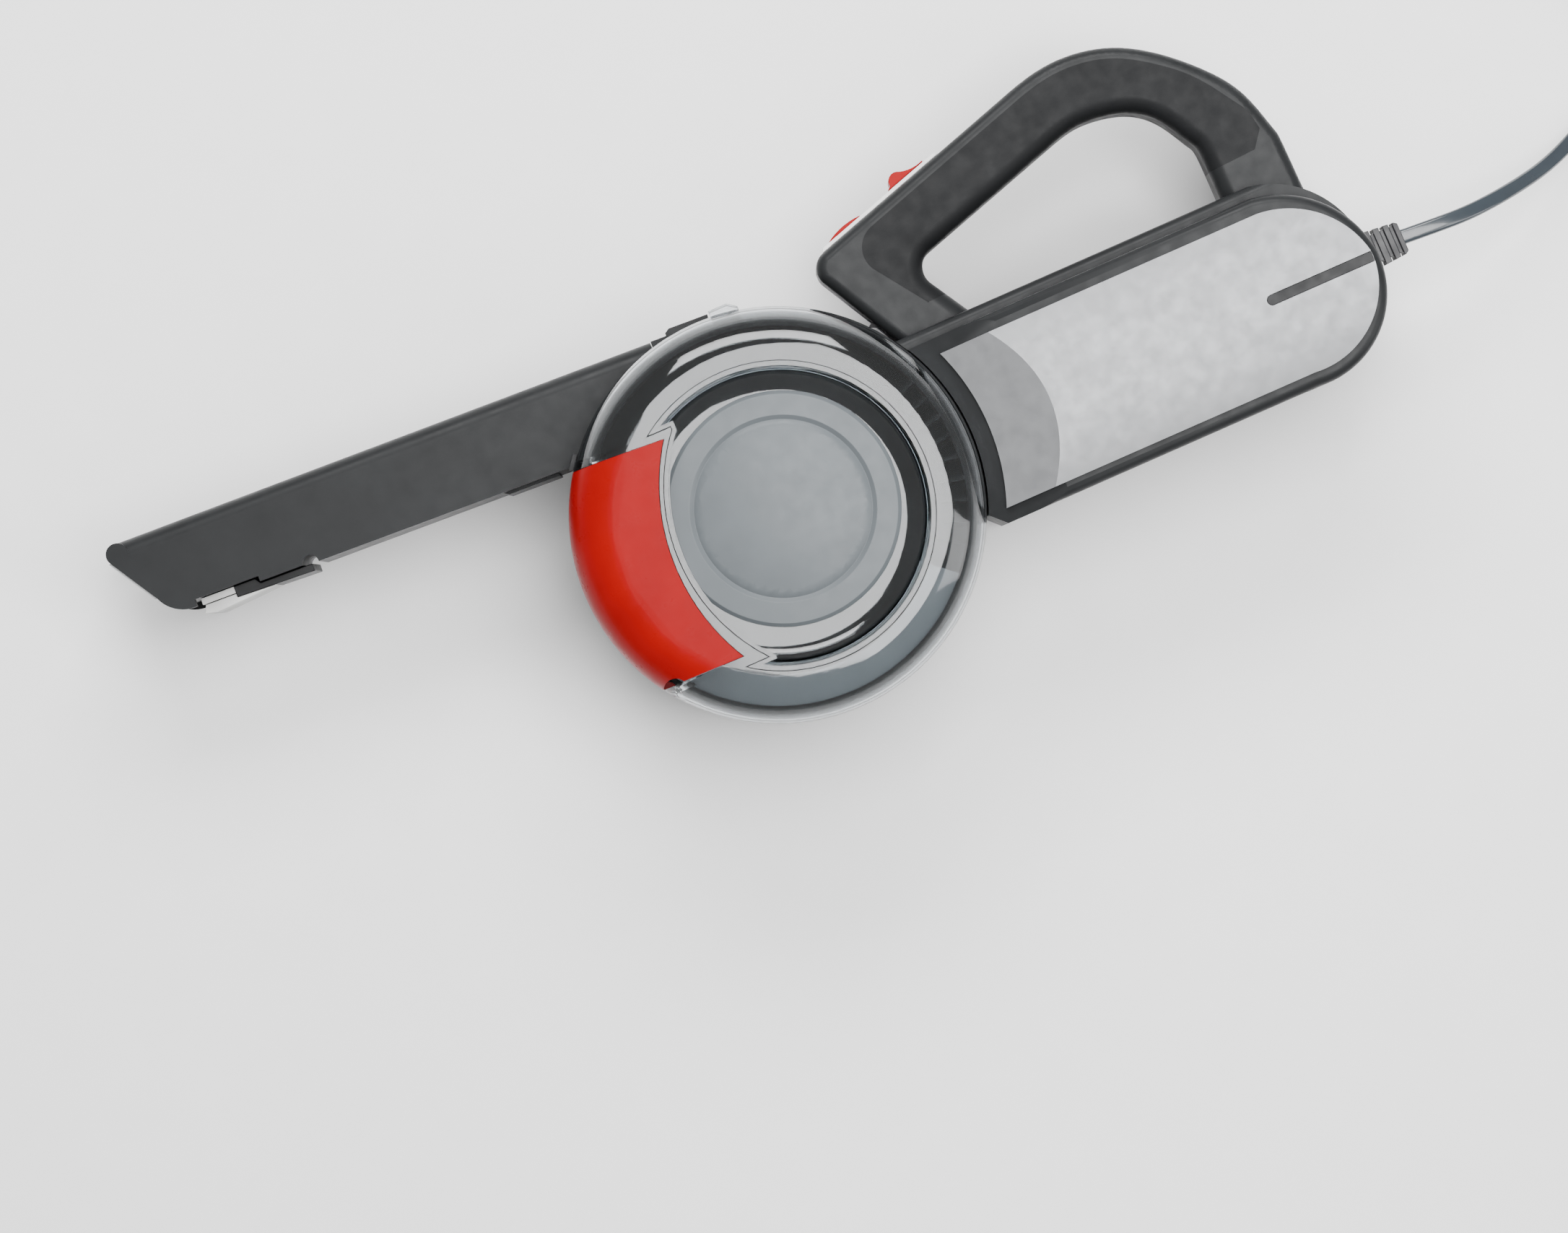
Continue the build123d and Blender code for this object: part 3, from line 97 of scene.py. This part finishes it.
# ---- materials -----------------------------------------------------------------------------------
class Shader:
    """A Principled material whose varying inputs come from noise on object coordinates."""

    def __init__(self, name, colour, rough, metallic=0.0, coat=0.0, transmission=0.0, specular=0.5):
        self.material = bpy.data.materials.new(name)
        self.material.use_nodes = True
        self.tree = self.material.node_tree
        self.surface = self.tree.nodes["Principled BSDF"]
        self.place = self.tree.nodes.new("ShaderNodeTexCoord").outputs["Object"]
        self.set("Base Color", (*colour, 1))
        self.set("Roughness", rough)
        self.set("Metallic", metallic)
        self.set("Specular IOR Level", specular)
        self.set("Coat Weight", coat)
        self.set("Coat Roughness", 0.08)
        self.set("Transmission Weight", transmission)

    def set(self, name, value):
        self.surface.inputs[name].default_value = value

    def node(self, kind, links=None, **settings):
        node = self.tree.nodes.new(kind)
        for key, value in settings.items():
            setattr(node, key, value)
        for key, value in (links or {}).items():
            if isinstance(value, bpy.types.NodeSocket):
                self.tree.links.new(value, node.inputs[key])
            else:
                node.inputs[key].default_value = value
        return node

    def noise(self, scale, detail=3.0, stretch=(1, 1, 1)):
        spot = self.node("ShaderNodeMapping", {"Vector": self.place, "Scale": stretch})
        links = {"Vector": spot.outputs[0], "Scale": scale, "Detail": detail}
        return self.node("ShaderNodeTexNoise", links).outputs["Fac"]

    def ranged(self, value, low, high, start=0.3, end=0.7):
        links = {"Value": value, "From Min": start, "From Max": end, "To Min": low, "To Max": high}
        return self.node("ShaderNodeMapRange", links).outputs["Result"]

    def vary(self, name, scale, low, high, detail=3.0, stretch=(1, 1, 1)):
        value = self.ranged(self.noise(scale, detail, stretch), low, high)
        self.tree.links.new(value, self.surface.inputs[name])

    def tint(self, scale, dark, light, detail=4.0, stretch=(1, 1, 1)):
        """Lets the base colour wander between a darker and a lighter tone."""
        mix = self.node("ShaderNodeMix", data_type="RGBA")
        self.tree.links.new(self.ranged(self.noise(scale, detail, stretch), 0, 1), mix.inputs[0])
        mix.inputs[6].default_value = (*dark, 1)
        mix.inputs[7].default_value = (*light, 1)
        self.tree.links.new(mix.outputs[2], self.surface.inputs["Base Color"])

    def grain(self, scale, depth, strength=0.35, stretch=(1, 1, 1)):
        links = {"Height": self.noise(scale, 2.0, stretch), "Distance": depth, "Strength": strength}
        bump = self.node("ShaderNodeBump", links)
        self.tree.links.new(bump.outputs["Normal"], self.surface.inputs["Normal"])


def shade(colour, factor):
    return tuple(min(1.0, c * factor) for c in colour)


def plain(name, colour, rough, grain=(2600, 0.00004), spread=0.12, **more):
    shader = Shader(name, colour, rough, **more)
    shader.tint(45, shade(colour, 1 - spread), shade(colour, 1 + spread))
    shader.vary("Roughness", 160, max(0.02, rough * 0.85), min(1.0, rough * 1.2))
    if grain:
        shader.grain(*grain)
    return shader.material


CHARCOAL = plain("charcoal_plastic", (0.014, 0.0148, 0.0156), 0.38, specular=0.14)
BLACK = plain("black_plastic", (0.005, 0.0053, 0.006), 0.40, specular=0.22)
GRIP = plain("grip_plastic", (0.010, 0.0104, 0.0111), 0.48, grain=(1900, 0.00006), specular=0.1)
SILVER = plain(
    "silver_lacquer", (0.19, 0.194, 0.2), 0.38, grain=(5200, 0.00002), spread=0.01, metallic=0.5, coat=0.05
)
SMOKE = plain("smoked_clear", (0.50, 0.53, 0.55), 0.05, grain=None, spread=0.02, transmission=1.0)
CLEAR = plain("clear_cap", (0.52, 0.55, 0.57), 0.05, grain=None, spread=0.02, transmission=1.0)
RED = plain("red_plastic", (0.25, 0.001, 0.002), 0.30, grain=(3200, 0.00002), spread=0.06, specular=0.08)
RED_SOLID = plain("red_button", (0.27, 0.001, 0.002), 0.34, grain=(3200, 0.00003), spread=0.06, specular=0.08)
DISC = plain("grey_disc", (0.10, 0.112, 0.12), 0.36, grain=(3000, 0.00003), spread=0.05, specular=0.25)
LIGHT = plain("light_grey", (0.50, 0.51, 0.51), 0.45, spread=0.05)
RING = plain("inner_ring", (0.42, 0.45, 0.47), 0.45, spread=0.05)
PALE = plain("pale_plate", (0.72, 0.72, 0.71), 0.35, spread=0.03, coat=0.2)
BRISTLE = plain("bristle", (0.52, 0.52, 0.51), 0.75, grain=(5200, 0.0002), spread=0.2)
PAPER = plain("filter_paper", (0.66, 0.64, 0.58), 0.85, grain=(1800, 0.0001))
FELT = plain("felt", (0.03, 0.03, 0.032), 0.95, grain=(4000, 0.0002))
RUBBER = plain("soft_rubber", (0.022, 0.022, 0.024), 0.50, grain=(2200, 0.00006))
JACKET = plain("cord_jacket", (0.020, 0.027, 0.034), 0.22, grain=(900, 0.00003), coat=0.5)
STEEL = plain("steel", (0.56, 0.56, 0.57), 0.28, spread=0.06, metallic=1.0)
COPPER = plain("copper", (0.72, 0.35, 0.20), 0.30, spread=0.1, metallic=1.0)
HOOKLOOP = plain("hook_and_loop", (0.02, 0.02, 0.021), 0.95, grain=(2500, 0.0003))


# ---- pieces --------------------------------------------------------------------------------------
SHARP_ABOVE = 38
CORD_SHARP_ABOVE = 50


def paint(piece, material):
    piece.data.materials.clear()
    piece.data.materials.append(material)


def finish_mesh(piece, angle):
    for face in piece.data.polygons:
        face.use_smooth = True
    piece.data.set_sharp_from_angle(angle=math.radians(angle))


def bake(piece):
    """Replaces a piece's mesh by what its modifiers make of it."""
    graph = bpy.context.evaluated_depsgraph_get()
    mesh = bpy.data.meshes.new_from_object(piece.evaluated_get(graph))
    piece.modifiers.clear()
    piece.data = mesh


def welded(node):
    """A joined-up copy of a CAD node's mesh."""
    work = bmesh.new()
    work.from_mesh(NODES[node].data)
    bmesh.ops.remove_doubles(work, verts=work.verts, dist=2e-6)
    bmesh.ops.dissolve_limit(
        work, angle_limit=math.radians(0.6), verts=work.verts, edges=work.edges, delimit={"NORMAL"}
    )
    mesh = bpy.data.meshes.new(node + "_look")
    work.to_mesh(mesh)
    work.free()
    return mesh


def dress(node, material, bevel=0.5, segments=2, angle=32):
    """Stands a rounded, smooth-shaded copy in for a CAD node."""
    piece = bpy.data.objects.new(node + "_look", welded(node))
    bpy.context.scene.collection.objects.link(piece)
    finish_mesh(piece, SHARP_ABOVE)
    if bevel:
        rounding = piece.modifiers.new("rounding", "BEVEL")
        rounding.width = bevel * MM
        rounding.segments = segments
        rounding.limit_method = "ANGLE"
        rounding.angle_limit = math.radians(angle)
        rounding.miter_outer = "MITER_ARC"
        rounding.harden_normals = True
        weighting = piece.modifiers.new("weighting", "WEIGHTED_NORMAL")
        weighting.keep_sharp = True
        bake(piece)
    paint(piece, material)
    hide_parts(node)
    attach(piece, BODY_OF[node])
    return piece


LOOKS = {
    "housing_near": (CHARCOAL, 0.6),
    "housing_far": (CHARCOAL, 0.6),
    "grip_near": (GRIP, 0.35),
    "grip_far": (GRIP, 0.35),
    "side_panel_near": (SILVER, 0.5),
    "side_panel_far": (SILVER, 0.5),
    "panel_inlay_near": (BLACK, 0.2),
    "panel_inlay_far": (BLACK, 0.2),
    "switch_plate": (PALE, 0.2),
    "power_slider": (RED_SOLID, 0.3),
    "release_button": (RED_SOLID, 0.3),
    "strain_relief": (RUBBER, 0.3),
    "hub_housing": (CHARCOAL, 0.6),
    "hub_cover": (CHARCOAL, 0.4),
    "drum_base": (CHARCOAL, 0.4),
    "nozzle_duct": (CHARCOAL, 0.5),
    "nozzle_lip": (LIGHT, 0.15),
    "brush_carrier": (BLACK, 0.3),
    "brush_bristles": (BRISTLE, 0.2),
    "bowl_shell": (SMOKE, 0.35),
    "bowl_clip": (CLEAR, 0.3),
    "door_catch": (BLACK, 0.2),
    "dust_door": (RED, 0.5),
    "filter_cap": (CLEAR, 0.4),
    "cap_disc": (DISC, 0.3),
    "cord_tie": (HOOKLOOP, 0.2),
    "plug_body": (BLACK, 0.3),
    "plug_nose": (RED_SOLID, 0.4),
    "plug_tip": (STEEL, 0.2),
    "plug_springs": (STEEL, 0.2),
    "baffle_ring": (RING, 0.2),
}
looks = {node: dress(node, *how) for node, how in LOOKS.items()}

KEPT = {
    STEEL: [
        "housing_screws",
        "hub_screws",
        "retainer_screws",
        "motor_can",
        "motor_magnets",
        "motor_shaft",
        "hinge_pin",
    ],
    CHARCOAL: ["hub_retainer", "air_louvre", "filter_frame"],
    BLACK: [
        "main_switch",
        "fan_shroud",
        "fan_guard",
        "motor_mount_front",
        "motor_mount_rear",
        "pivot_bearing",
        "release_rod",
    ],
    LIGHT: ["impeller", "motor_endcap", "prefilter_sleeve"],
    COPPER: ["commutator", "armature"],
    FELT: ["felt_seal"],
    PAPER: ["pleated_filter"],
    RUBBER: ["bowl_seal", "lead_wires"],
}
for material, names in KEPT.items():
    for name in names:
        paint(NODES[name], material)

# ---- cord ----------------------------------------------------------------------------------------
LEAD_ROUTE = [
    (286, 2, 48),
    (301, 0.9, 47.4),
    (316, 0.2, 44.5),
    (331, 1.2, 38),
    (345, 3.0, 28.5),
    (358, 5.6, 18.5),
    (371, 10, 9.5),
    (385, 16.5, 3.2),
    (399, 26, 2.2),
    (410, 39, 2.6),
]
TAIL_ROUTE = [
    (494, 47, 24.9),
    (495.3, 36, 24.0),
    (496, 24, 20.5),
    (496.6, 12, 16.2),
    (497, 3, 13.8),
    (497, -6, 13.5),
]
COIL_AT = (455.0, 55.0)
COIL_LOW = 1.0
TURN_RADII = (39.0, 32.6, 26.2)
LAYERS = 8
LAYER_RISE = 3.2
CORD_WIDTH = 6.4
POINTS_PER_TURN = 24


def coil_route():
    """Turns wound clockwise from the left, outwards and inwards in turn, one layer on another."""
    stops = []
    for layer in range(LAYERS):
        radii = TURN_RADII if layer % 2 == 0 else TURN_RADII[::-1]
        stops += [(radius, COIL_LOW + 1.6 + LAYER_RISE * layer) for radius in radii]
    stops.append(stops[-1])
    points = []
    for turn in range(LAYERS * len(TURN_RADII)):
        for step in range(POINTS_PER_TURN):
            along = step / POINTS_PER_TURN
            blend = max(0.0, min(1.0, (along - 0.8) / 0.2))
            blend = blend * blend * (3 - 2 * blend)
            radius = stops[turn][0] * (1 - blend) + stops[turn + 1][0] * blend
            height = stops[turn][1] * (1 - blend) + stops[turn + 1][1] * blend
            angle = math.pi - 2 * math.pi * along
            points.append(
                (COIL_AT[0] + radius * math.cos(angle), COIL_AT[1] + radius * math.sin(angle), height)
            )
    last_radius, last_height = stops[-1]
    for step in range(POINTS_PER_TURN // 2 + 1):
        angle = math.pi - 2 * math.pi * step / POINTS_PER_TURN
        across = COIL_AT[0] + last_radius * math.cos(angle)
        along = COIL_AT[1] + last_radius * math.sin(angle)
        points.append((across, along, last_height))
    return points


def smooth_path(controls, per_span=4):
    """Points on the quadratic B-spline of a row of control points, from the first to the last."""
    controls = [Vector(c) * MM for c in controls]
    spans = [controls[0]] + [(a + b) / 2 for a, b in zip(controls[1:-2], controls[2:-1])] + [controls[-1]]
    path = [spans[0]]
    for index in range(len(controls) - 2):
        start, bend, end = spans[index], controls[index + 1], spans[index + 1]
        for step in range(1, per_span + 1):
            t = step / per_span
            path.append(start * (1 - t) ** 2 + bend * 2 * t * (1 - t) + end * t * t)
    return path


def twin_profile():
    """Outline of two round cores side by side, across the cord and up."""
    core = CORD_WIDTH / 4
    points = []
    for side, start in ((1, -78), (-1, 102)):
        for step in range(9):
            angle = math.radians(start + 156 * step / 8)
            points.append((side * core + core * math.cos(angle), core * math.sin(angle)))
    return [(a * MM, b * MM) for a, b in points]


def swept(name, path, profile):
    """A closed-ended mesh that carries a profile along a path, its width kept level."""
    rows = []
    for index, spot in enumerate(path):
        ahead = path[min(index + 1, len(path) - 1)] - path[max(index - 1, 0)]
        across = ahead.cross(Vector((0, 0, 1)))
        across.normalize()
        up = across.cross(ahead)
        up.normalize()
        rows.append([spot + across * a + up * b for a, b in profile])
    verts = [v for row in rows for v in row]
    count = len(profile)
    faces = []
    for row in range(len(rows) - 1):
        for k in range(count):
            a, b = row * count + k, row * count + (k + 1) % count
            faces.append((a, b, b + count, a + count))
    faces.append(tuple(range(count))[::-1])
    faces.append(tuple(range(len(verts) - count, len(verts))))
    mesh = bpy.data.meshes.new(name)
    mesh.from_pydata(verts, [], faces)
    piece = bpy.data.objects.new(name, mesh)
    bpy.context.scene.collection.objects.link(piece)
    finish_mesh(piece, CORD_SHARP_ABOVE)
    return piece


cord_path = smooth_path(LEAD_ROUTE + coil_route() + TAIL_ROUTE)
cord_length = sum((b - a).length for a, b in zip(cord_path, cord_path[1:]))
cord = swept("power_cord", cord_path, twin_profile())
paint(cord, JACKET)
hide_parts("cord_lead", "cord_coil", "cord_tail")
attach(cord, "housing")

# ---- floor ---------------------------------------------------------------------------------------
floor_mesh = bpy.data.meshes.new("floor")
floor_mesh.from_pydata([(-6, -6, 0), (6, -6, 0), (6, 6, 0), (-6, 6, 0)], [], [(0, 1, 2, 3)])
floor = bpy.data.objects.new("floor", floor_mesh)
bpy.context.scene.collection.objects.link(floor)
floor.location.z = -0.0005
paint(floor, plain("pale_floor", (0.93, 0.93, 0.93), 0.95, grain=None, spread=0.01))
